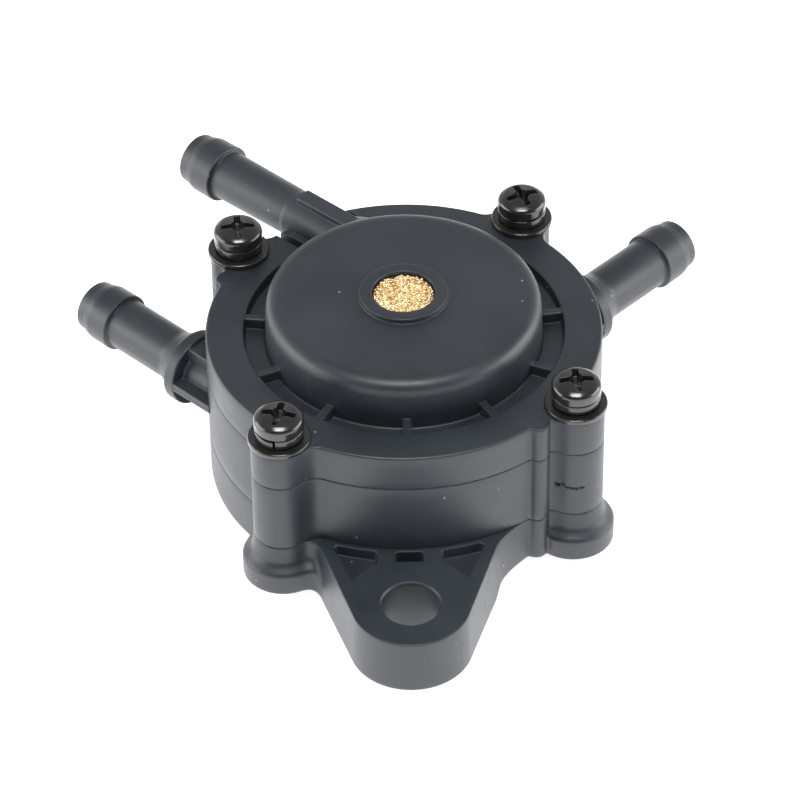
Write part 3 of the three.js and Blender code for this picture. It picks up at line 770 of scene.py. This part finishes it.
# ---- check valves ----
# Each is a thin rubber disc on a steel guide pin, held on its seat by a very light coil spring.
# The inlet valve lifts up into the pump chamber, the outlet valve drops into the port chamber.
steel, tree, shader = new_material("plated_steel", Metallic=1.0)
grain = place_group(tree, grain_group, Fine=5200.0, Cloud=300.0)
marks = place_group(tree, marks_group)
steel_tint = node(
    tree,
    "ShaderNodeMix",
    {"data_type": "RGBA"},
    n0=grain["Cloud"],
    n6=(0.46, 0.47, 0.48, 1),
    n7=(0.62, 0.62, 0.60, 1),
)
tree.links.new(steel_tint.outputs[2], shader.inputs["Base Color"])
clouded = ramp(tree, grain["Cloud"], 0.3, 0.7, 0.26, 0.4)
steel_gloss = maths(tree, "ADD", clouded, maths(tree, "MULTIPLY", marks["Scratch"], 0.12))
tree.links.new(steel_gloss, shader.inputs["Roughness"])
relief = node(tree, "ShaderNodeBump", None, Strength=0.2, Distance=0.00002, Height=grain["Height"])
tree.links.new(relief.outputs[0], shader.inputs["Normal"])

spring_steel, tree, shader = new_material("spring_steel", Metallic=1.0)
grain = place_group(tree, grain_group, Fine=6000.0, Cloud=500.0)
wire_tint = node(
    tree,
    "ShaderNodeMix",
    {"data_type": "RGBA"},
    n0=grain["Cloud"],
    n6=(0.33, 0.33, 0.34, 1),
    n7=(0.50, 0.49, 0.47, 1),
)
tree.links.new(wire_tint.outputs[2], shader.inputs["Base Color"])
tree.links.new(ramp(tree, grain["Cloud"], 0.3, 0.7, 0.22, 0.36), shader.inputs["Roughness"])
relief = node(tree, "ShaderNodeBump", None, Strength=0.15, Distance=0.00001, Height=grain["Height"])
tree.links.new(relief.outputs[0], shader.inputs["Normal"])


def washer_shape(name, profile, centre, around=72):
    """Ring: a closed profile of (radius, height), anticlockwise, turned about an upright axis."""
    angle = np.linspace(0, 2 * np.pi, around, endpoint=False)
    profile = np.asarray(profile, float)
    rings = raise_rings(profile[:, :1], profile[:, 1:], angle)
    return skin(name, rings + np.array([centre[0], centre[1], 0]), loop=True)


def coil(name, centre, radius, wire, low, high, turns, dead=0.75, steps=36):
    """Coil spring of round wire: the height eases in and out so the end turns lie almost flat,
    height = low + (high - low) * smooth step of the share of the run between the dead turns."""
    share = np.linspace(0, 1, int(turns * steps) + 1)
    rise = np.clip((share * turns - dead) / (turns - 2 * dead), 0, 1)
    dead_pitch = 2.1 * wire
    wound = share * turns
    pitch = dead_pitch * np.minimum(wound, dead) + dead_pitch * np.maximum(wound - turns + dead, 0)
    open_part = high - low - 2 * wire - 2 * dead_pitch * dead
    height = low + wire + pitch + rise * open_part
    angle = 2 * np.pi * turns * share
    around = np.linspace(0, 2 * np.pi, 10, endpoint=False)
    out = radius + wire * np.sin(around)[None]
    up = height[:, None] + wire * np.cos(around)[None]
    rings = raise_rings(out, up, angle[:, None])
    return skin(name, rings + np.array([centre[0], centre[1], 0]))


for label, x, direction in (("inlet", inlet_x, 1), ("outlet", outlet_x, -1)):
    disc_low, disc_high = box_mm(f"{label}_valve_disc")
    guide_low, guide_high = box_mm(f"{label}_valve_guide")
    spring_low, spring_high = box_mm(f"{label}_valve_spring")
    ring = outline(
        [(1.0, disc_low[2]), (4.2, disc_low[2]), (4.2, disc_high[2]), (1.0, disc_high[2])], 0.14, 5
    )
    disc = washer_shape(f"{label}_flap", ring, (x, 0))
    disc.data.materials.append(rubber)
    smooth(disc)
    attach(disc, f"{label}_valve")
    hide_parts(f"{label}_valve_disc")

    length = guide_high[2] - guide_low[2]
    pin = ease(
        [
            (0, 0.5, 0),
            (0, 0.8, 0.15),
            (length - 0.35, 0.8, 0.1),
            (length - 0.35, 2.2, 0.12),
            (length - 0.1, 2.2, 0.2),
            (length, 1.2, 0),
        ]
    )
    if direction > 0:
        rows = np.column_stack([guide_low[2] + pin[:, 0], pin[:, 1]])
    else:
        rows = np.column_stack([guide_high[2] - pin[::-1, 0], pin[::-1, 1]])
    guide = turned(f"{label}_pin", rows, (x, 0, 0), around=40)
    guide.data.materials.append(steel)
    smooth(guide)
    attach(guide, "casing")
    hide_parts(f"{label}_valve_guide")

    light_spring = coil(f"{label}_light_spring", (x, 0), 1.5, 0.12, spring_low[2], spring_high[2], 2.4, 0.3)
    light_spring.data.materials.append(spring_steel)
    smooth(light_spring)
    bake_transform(light_spring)
    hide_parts(f"{label}_valve_spring")

# ---- pump diaphragm, plates, rivet and return spring ----
# Fabric-backed rubber sheet clamped in the upper seam, with two pressed steel plates riveted through it.
# Crankcase pulses move it down and up; the spring under the dome pushes it back.
sheet_low, sheet_high = box_mm("pump_diaphragm")
wedge_count = 16
fold_radius = 14.6
fold_half = 1.9
fold_depth = 0.45
sheet_run = np.concatenate(
    [np.linspace(1.6, 12.4, 8), np.linspace(12.8, 16.6, 20), np.linspace(17.2, 22.3, 6)]
)
off_fold = sheet_run - fold_radius
sheet_dip = np.where(
    np.abs(off_fold) < fold_half, -fold_depth * np.cos(off_fold / fold_half * np.pi / 2) ** 2, 0
)
for i in range(wedge_count):
    heading = 2 * np.pi * i / wedge_count
    spread = heading + np.linspace(-np.pi / wedge_count, np.pi / wedge_count, 9)
    run = np.concatenate([sheet_run, sheet_run[::-1]])[None]
    height = np.concatenate([sheet_low[2] + sheet_dip, (sheet_high[2] + sheet_dip)[::-1]])[None]
    wedge = skin(f"pump_sheet_{i}", raise_rings(run, height, spread[:, None]))
    wedge.data.materials.append(rubber)
    smooth(wedge)
    toward = np.array([np.cos(heading), np.sin(heading), 0]) * mm
    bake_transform(wedge)
    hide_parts("pump_diaphragm")

for label in ("diaphragm_lower_plate", "diaphragm_upper_plate"):
    low, high = (corner[2] for corner in box_mm(label))
    plate_ring = outline([(1.6, low), (12.6, low), (12.6, high), (1.6, high)], 0.2, 5)
    plate = washer_shape(f"{label}_pressed", plate_ring, (0, 0), 128)
    plate.data.materials.append(steel)
    smooth(plate)
    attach(plate, "plunger")
    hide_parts(label)

rivet_low, rivet_high = (corner[2] for corner in box_mm("diaphragm_rivet"))
rivet_rows = ease(
    [
        (rivet_low, 2.0, 0),
        (rivet_low, 3.0, 0.15),
        (rivet_low + 0.4, 3.0, 0.05),
        (rivet_low + 0.4, 1.5, 0.05),
        (rivet_high - 0.4, 1.5, 0.05),
        (rivet_high - 0.4, 3.0, 0.05),
        (rivet_high - 0.2, 2.9, 0.15),
        (rivet_high, 2.0, 0.3),
        (rivet_high, 0.6, 0),
    ]
)
rivet = turned("diaphragm_rivet_formed", rivet_rows, around=56)
rivet.data.materials.append(steel)
smooth(rivet)
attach(rivet, "plunger")
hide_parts("diaphragm_rivet")

spring_low, spring_high = (corner[2] for corner in box_mm("return_spring"))
return_coil = coil("return_coil", (0, 0), 6.4, 0.5, spring_low, spring_high, 5.5)
return_coil.data.materials.append(spring_steel)
smooth(return_coil)
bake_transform(return_coil)
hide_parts("return_spring")

# ---- top cover ----
# Glass-filled nylon moulding: a flange on the body outline, a moat bridged by eleven ribs, and a dome over
# the return spring. The pulse port runs from under the dome out across the flange.
flange_top = box_mm("flat_washer_front_left")[0][2]
cover_top = box_mm("top_cover")[1][2]
dome_top = cover_top - 0.7
moat_floor = flange_top - 1.75
moat_radius = 21.8
dome_radius = 18.9
vent_radius = 4.15
vent_seat = box_mm("vent_disc")[0][2]
cover_edge = 0.4
crest = ease(
    [
        (24, flange_top, 0),
        (moat_radius, flange_top, 0.25),
        (moat_radius - 0.05, moat_floor, 0.35),
        (dome_radius, moat_floor, 0.3),
        (dome_radius - 0.25, dome_top, 2.3),
        (6.1, dome_top, 0.12),
        (6.0, cover_top, 0.2),
        (vent_radius + 0.12, cover_top, 0.2),
        (vent_radius + 0.05, vent_seat, 0.02),
        (1.5, vent_seat, 0),
    ],
    9,
)
under = np.array([[4.0, seam_high], [14.0, seam_high], [24.0, seam_high]])
cover_blank = skin(
    "cover_blank",
    np.concatenate(
        [
            raise_rings(under[:, :1], under[:, 1:], body_angle),
            wall_stack(seam_high, flange_top, seam_edge, cover_edge, 3),
            raise_rings(crest[:, :1], crest[:, 1:], body_angle),
        ]
    ),
)

rib_count = 11
rib_width = 1.2
rib_section = outline(
    [(-rib_width / 2, -4), (rib_width / 2, -4), (rib_width / 2, -0.1), (-rib_width / 2, -0.1)], 0.3
)
moat_ribs = [
    carried("moat_rib", rib_section, [18.3, 22.8], [1, 1], (0, 0, flange_top), heading)
    for heading in np.radians(-90 + np.arange(rib_count) * 360 / rib_count)
]

pulse_heading, pulse_offset = np.radians(136.9), -8.34
pulse_level = flange_top + 0.15
pulse_radius = 3.5
pulse_foot = port_base(pulse_heading, pulse_offset, pulse_level)
pulse_face = np.sqrt(wall**2 - pulse_offset**2)
pulse_tip = pulse_face + 21.4
pulse_stem = ease(
    [
        (11.0, 4.5, 0),
        (16.6, 4.4, 1.0),
        (19.0, pulse_radius, 3.0),
        (pulse_face + 1.6, pulse_radius, 0.3),
        (pulse_face + 2.3, pulse_radius - 0.12, 0.3),
        *barb(pulse_tip, pulse_radius),
    ],
    7,
)
keel_top = 4.2
keel = outline([(-1.25, 0), (1.25, 0), (1.25, keel_top), (-1.25, keel_top)], 0.3)
ledge = outline([(-4.3, -3.0), (4.3, -3.0), (4.3, 0.15), (-4.3, 0.15)], 0.2)
pulse_parts = [
    turned("pulse_stem", pulse_stem, pulse_foot, pulse_heading, 80),
    carried("pulse_keel", keel, [11.5, pulse_face + 0.7], [1, 1], pulse_foot, pulse_heading),
    carried("pulse_ledge", ledge, [11.5, pulse_face - 0.6], [1, 1], pulse_foot, pulse_heading),
]
slots = [
    carried(
        "pulse_slot",
        outline([(a, -1.65), (a + 0.95, -1.65), (a + 0.95, 1.0), (a, 1.0)], 0.15),
        [19.6, pulse_face + 6],
        [1, 1],
        pulse_foot,
        pulse_heading,
    )
    for a in (-5.27, 4.32)
]
cover_slotted = fused("cover_slotted", cover_blank, [], slots)
cavity_roof = dome_top - 2.0
cavity_rows = ease(
    [
        (seam_high - 1, cavity_radius, 0),
        (cavity_roof, cavity_radius, 1.2),
        (cavity_roof, 4.7, 0.4),
        (cavity_roof - 1.4, 4.6, 0.2),
        (cavity_roof - 1.4, 1.0, 0),
    ]
)
cover = fused(
    "cover_moulding",
    cover_slotted,
    moat_ribs + pulse_parts,
    [
        turned("cavity", cavity_rows, around=128),
        turned("vent_hole", [(cavity_roof - 3, 2.6), (vent_seat + 1, 2.6)], around=48),
        turned("pulse_bore", port_bore(pulse_tip, 13.0), pulse_foot, pulse_heading, 40),
        *[
            turned("clear_hole", [(seam_high - 1, 2.25), (flange_top + 1, 2.25)], (*at, 0), around=40)
            for at in screw_at.values()
        ],
    ],
)
cover.data.materials.append(nylon)
smooth(cover)
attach(cover, "casing")
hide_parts("top_cover")

# ---- vent disc ----
# Porous disc of sintered bronze: round powder grains fused where they touch, pressed into the crown.
# It lets the dome breathe and keeps dirt out.
disc_low, disc_high = (corner[2] for corner in box_mm("vent_disc"))
grain_pitch = 0.40
grain_radius = 0.235
draw = np.random.default_rng(11)
row, column = np.meshgrid(np.arange(-14, 15), np.arange(-14, 15), indexing="ij")
spot = np.stack([(column + 0.5 * (row % 2)).ravel(), row.ravel() * np.sqrt(3) / 2], 1) * grain_pitch
spot += draw.uniform(-0.11, 0.11, spot.shape)
spot = spot[np.hypot(*spot.T) < vent_radius - 0.12]
grain_size = grain_radius * draw.uniform(0.72, 1.15, len(spot))
grain_top = disc_high - draw.uniform(0.0, 0.26, len(spot))
tilt = draw.uniform(0, 2 * np.pi, (2, len(spot)))[0]
ring_angle = np.linspace(0, 2 * np.pi, 9, endpoint=False)
polar = np.radians([28, 58, 90, 122])
cap = np.stack(
    [
        np.sin(polar)[:, None] * np.cos(ring_angle),
        np.sin(polar)[:, None] * np.sin(ring_angle),
        np.broadcast_to(np.cos(polar)[:, None], (4, 9)),
    ],
    -1,
)[::-1]
turn = np.stack([np.cos(tilt), -np.sin(tilt), np.sin(tilt), np.cos(tilt)], -1).reshape(-1, 1, 1, 2, 2)
swung = np.einsum("...ij,...j->...i", turn, cap[None, ..., :2])
upright = np.broadcast_to(cap[None, ..., 2:], (len(spot), 4, 9, 1))
spun = np.concatenate([swung, upright], -1)
middle_of = np.column_stack([spot, grain_top - grain_size])[:, None, None]
balls = middle_of + grain_size[:, None, None, None] * spun
pole = np.column_stack([spot, grain_top])
count = len(spot)
index = np.arange(36).reshape(4, 9)
sides = np.stack(
    [index[:-1], np.roll(index[:-1], -1, 1), np.roll(index[1:], -1, 1), index[1:]], -1
).reshape(-1, 4)
lids = np.column_stack([np.full(9, 37), index[-1], np.roll(index[-1], -1)])
feet = np.column_stack([np.full(9, 36), np.roll(index[0], -1), index[0]])
bead_points = np.concatenate(
    [
        balls.reshape(count, 36, 3),
        (middle_of.reshape(count, 3) - np.array([0, 0, 1]) * (0.9 * grain_size)[:, None])[:, None],
        pole[:, None],
    ],
    1,
)
shift = np.arange(count)[:, None, None] * 38
bead_faces = (sides[None] + shift).reshape(-1, 4).tolist() + (
    np.concatenate([lids, feet])[None] + shift
).reshape(-1, 3).tolist()
bead_mesh = bpy.data.meshes.new("vent_grains")
bead_mesh.from_pydata((bead_points.reshape(-1, 3) * mm).tolist(), [], bead_faces)
beads = bpy.data.objects.new("vent_grains", bead_mesh)
bpy.context.scene.collection.objects.link(beads)
base_profile = [
    (disc_low, 3.6, 0),
    (disc_low, vent_radius, 0.15),
    (disc_high - 0.3, vent_radius, 0.15),
    (disc_high - 0.3, 1, 0),
]
base = turned("vent_base", ease(base_profile), around=72)

bronze, tree, shader = new_material("sintered_bronze", Metallic=1.0)
grain = place_group(tree, grain_group, Fine=5200.0, Cloud=1500.0)
own_place = node(tree, "ShaderNodeTexCoord").outputs["Object"]
each = node(tree, "ShaderNodeTexVoronoi", None, Vector=own_place, Scale=2300.0)
bronze_tint = node(
    tree,
    "ShaderNodeMix",
    {"data_type": "RGBA"},
    n0=ramp(tree, each.outputs["Color"], 0.2, 0.85),
    n6=(0.62, 0.40, 0.17, 1),
    n7=(1.0, 0.86, 0.58, 1),
)
tree.links.new(bronze_tint.outputs[2], shader.inputs["Base Color"])
tree.links.new(ramp(tree, grain["Cloud"], 0.3, 0.7, 0.2, 0.42), shader.inputs["Roughness"])
relief = node(tree, "ShaderNodeBump", None, Strength=0.3, Distance=0.00003, Height=grain["Height"])
tree.links.new(relief.outputs[0], shader.inputs["Normal"])
for piece in (beads, base):
    piece.data.materials.append(bronze)
    piece.data.shade_smooth()
    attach(piece, "casing")
    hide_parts("vent_disc")

# ---- screws and washers ----
# Four steel pan-head screws with a cross recess, black oxide, each over a split spring washer and a flat
# washer. They cut their own thread in the feet and clamp the three bodies.
black, tree, shader = new_material("black_oxide", Metallic=0.0, IOR=1.6)
grain = place_group(tree, grain_group, Fine=5200.0, Cloud=420.0)
marks = place_group(tree, marks_group, Reach=0.00012)
black_tint = node(
    tree,
    "ShaderNodeMix",
    {"data_type": "RGBA"},
    n0=grain["Cloud"],
    n6=(0.0070, 0.0070, 0.0070, 1),
    n7=(0.0140, 0.0138, 0.0132, 1),
)
# Outer edges painted lighter: partly bare steel rubbed through the oxide, partly a painted highlight along
# the edges.
bare_edge_and_highlight = node(
    tree,
    "ShaderNodeMix",
    {"data_type": "RGBA"},
    n0=maths(tree, "MULTIPLY", marks["Edge"], 0.12),
    n6=black_tint.outputs[2],
    n7=(0.10, 0.10, 0.10, 1),
)
tree.links.new(bare_edge_and_highlight.outputs[2], shader.inputs["Base Color"])
clouded = ramp(tree, grain["Cloud"], 0.3, 0.7, 0.14, 0.26)
black_gloss = maths(tree, "ADD", clouded, maths(tree, "MULTIPLY", marks["Scratch"], 0.15))
tree.links.new(black_gloss, shader.inputs["Roughness"])
soft_edge = node(tree, "ShaderNodeBevel", {"samples": 6}, Radius=0.00012)
relief = node(
    tree,
    "ShaderNodeBump",
    None,
    Strength=0.25,
    Distance=0.00002,
    Height=grain["Height"],
    Normal=soft_edge.outputs[0],
)
tree.links.new(relief.outputs[0], shader.inputs["Normal"])

head_radius = 3.4
thread_radius = 2.0
thread_pitch = 0.8
recess_turn = {"front_right": 4, "back_right": 22, "back_left": 4, "front_left": -12}
split_turn = {"front_right": 200, "back_right": 80, "back_left": 150, "front_left": 258}
for place in places:
    at = screw_at[place]
    low, high = (corner[2] for corner in box_mm(f"screw_{place}"))
    seat = box_mm(f"lock_washer_{place}")[1][2]
    ring_low = box_mm(f"lock_washer_{place}")[0][2]

    head = ease(
        [
            (seat, 1.95, 0),
            (seat, head_radius - 0.05, 0.25),
            (seat + 1.55, head_radius, 0.9),
            (high - 0.3, head_radius - 0.9, 1.2),
            (high, 0.6, 0),
        ],
        9,
    )
    run = np.linspace(low, seat - 0.5, 190)
    turns = np.linspace(0, 2 * np.pi, 36, endpoint=False)
    phase = (run[:, None] / thread_pitch - turns / (2 * np.pi)) % 1
    point = np.clip((run - low) / 1.2, 0.25, 1)[:, None]
    groove = 0.32 * np.abs(2 * phase - 1)
    run_out = np.clip((seat - 1 - run) / 0.8, 0, 1)[:, None]
    shank = point * (thread_radius - groove * run_out)
    head_rings = raise_rings(head[:, 1:], head[:, :1], turns)
    rings = np.concatenate([raise_rings(shank, run[:, None], turns), head_rings])
    blank = skin("screw_blank", rings + np.array([*at, 0]))
    depth = np.array([high - 1.6, high - 1.3, high - 0.3, high + 0.5])
    span = np.array([0.5, 0.82, 1.0, 1.12])
    thick = np.array([0.55, 0.7, 1.0, 1.2])
    angle = np.radians(recess_turn[place])
    blades = []
    for quarter_turn in (0, np.pi / 2):
        blade = outline([(-2.3, -0.46), (2.3, -0.46), (2.3, 0.46), (-2.3, 0.46)], 0.18)
        size = np.stack([span, thick], 1)[:, None]
        flat = blade[None] * size
        c, s = np.cos(angle + quarter_turn), np.sin(angle + quarter_turn)
        blade_x = flat[..., 0] * c - flat[..., 1] * s
        blade_y = flat[..., 0] * s + flat[..., 1] * c
        blade_z = np.broadcast_to(depth[:, None, None], (*flat.shape[:2], 1))
        depth_rings = np.concatenate([np.stack([blade_x, blade_y], -1) + at, blade_z], -1)
        blades.append(skin("recess_blade", depth_rings))
    cone_rows = [(high - 1.7, 0.3), (high - 1.2, 0.75), (high + 0.3, 1.15)]
    cone = turned("recess_cone", cone_rows, (*at, 0), around=32)
    screw = fused(f"pan_screw_{place}", blank, [], [*blades, cone])
    screw.data.materials.append(black)
    smooth(screw)
    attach(screw, "casing")
    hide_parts(f"screw_{place}")

    inner, outer = 2.15, 3.3
    around = np.radians(split_turn[place] + np.linspace(3, 357, 90))
    half = (seat - ring_low) / 2
    thick = half - 0.14
    section = outline([(-thick, inner), (thick, inner), (thick, outer), (-thick, outer)], 0.2, 4)
    wind = 0.12 * np.cos(np.linspace(0, np.pi, 90))
    split = raise_rings(
        section[None, :, 1], ring_low + half + section[None, :, 0] + wind[:, None], around[:, None]
    )
    lock = skin(f"split_washer_{place}", split + np.array([*at, 0]))
    lock.data.materials.append(black)
    smooth(lock)
    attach(lock, "casing")
    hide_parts(f"lock_washer_{place}")

    flat_low, flat_high = (corner[2] for corner in box_mm(f"flat_washer_{place}"))
    stamped = outline([(2.15, flat_low), (4.25, flat_low), (4.25, flat_high), (2.15, flat_high)], 0.28, 6)
    washer = washer_shape(f"stamped_washer_{place}", stamped, at)
    washer.data.materials.append(black)
    smooth(washer)
    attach(washer, "casing")
    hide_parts(f"flat_washer_{place}")

# ---- floor, light and camera ----
# Plain pale floor, a broad soft light on each side and a weaker one above, as in a small studio.
floor_mesh = bpy.data.meshes.new("floor")
reach = 3.0
corner = [(-reach, -reach, 0), (reach, -reach, 0), (reach, reach, 0), (-reach, reach, 0)]
floor_mesh.from_pydata(corner, [], [(0, 1, 2, 3)])
floor = bpy.data.objects.new("floor", floor_mesh)
bpy.context.scene.collection.objects.link(floor)
floor.location.z = -0.0002
paper, tree, shader = new_material("pale_paper", Roughness=0.8)
shader.inputs["Base Color"].default_value = (0.75, 0.75, 0.75, 1)
shader.inputs["Emission Color"].default_value = (1, 1, 1, 1)
seen = node(tree, "ShaderNodeLightPath").outputs["Is Camera Ray"]
tree.links.new(ramp(tree, seen, 0, 1, 1.6, 0.85), shader.inputs["Emission Strength"])
floor.data.materials.append(paper)
floor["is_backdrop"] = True

world = bpy.data.worlds.new("studio")
bpy.context.scene.world = world
world.use_nodes = True
tree = world.node_tree
seen = node(tree, "ShaderNodeLightPath").outputs["Is Camera Ray"]
toward = node(
    tree, "ShaderNodeSeparateXYZ", None, Vector=node(tree, "ShaderNodeTexCoord").outputs["Generated"]
).outputs
room = maths(
    tree,
    "MULTIPLY",
    ramp(tree, toward["Z"], 0.05, 0.75, 1.1, 0.42),
    ramp(tree, toward["Y"], -0.55, 0.2, 0.2, 1.0),
)
tree.links.new(maths(tree, "MAXIMUM", room, seen), tree.nodes["Background"].inputs["Strength"])
tree.nodes["Background"].inputs["Color"].default_value = (1, 1, 1, 1)


def soft_light(name, at, aim, size, power):
    """Square area light at a place, facing a point."""
    data = bpy.data.lights.new(name, "AREA")
    data.shape = "RECTANGLE"
    data.size, data.size_y = size
    data.energy = power
    lamp = bpy.data.objects.new(name, data)
    bpy.context.scene.collection.objects.link(lamp)
    lamp.location = at
    lamp.rotation_euler = (Vector(aim) - Vector(at)).to_track_quat("-Z", "Y").to_euler()
    return lamp


soft_light("left", (-0.75, 0.0, 0.22), (0, 0, 0.015), (0.7, 0.4), 5)
soft_light("right", (0.75, 0.0, 0.22), (0, 0, 0.015), (0.7, 0.4), 5)
soft_light("above", (0.0, -0.3, 0.85), (0, 0, 0.015), (0.4, 0.3), 7)

aim = Vector((0, 0, flange_top * mm))
distance = 0.6116
elevation, azimuth = np.radians(40.06), np.radians(-0.8)
pan, tilt, roll = np.radians([0.06, -0.93, 0.66])
seat_at = Vector((0, -distance * np.cos(elevation), distance * np.sin(elevation)))
ahead = -seat_at.normalized()
right = Vector((1, 0, 0))
up = right.cross(ahead)
ahead = Matrix.Rotation(pan, 3, up) @ ahead
right = Matrix.Rotation(pan, 3, up) @ right
ahead = Matrix.Rotation(tilt, 3, right) @ ahead
up = Matrix.Rotation(tilt, 3, right) @ up
right = Matrix.Rotation(roll, 3, ahead) @ right
up = Matrix.Rotation(roll, 3, ahead) @ up
turn_back = Matrix.Rotation(azimuth, 3, "Z")
pose = turn_back @ Matrix((right, up, -ahead)).transposed()
eye = bpy.data.cameras.new("camera")
eye.lens = 202.5
eye.sensor_width = 36
eye.clip_start, eye.clip_end = 0.01, 20
camera = bpy.data.objects.new("camera", eye)
bpy.context.scene.collection.objects.link(camera)
camera.matrix_world = Matrix.Translation(aim + turn_back @ seat_at) @ pose.to_4x4()
bpy.context.scene.camera = camera
bpy.context.scene.view_settings.view_transform = "Standard"

low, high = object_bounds()
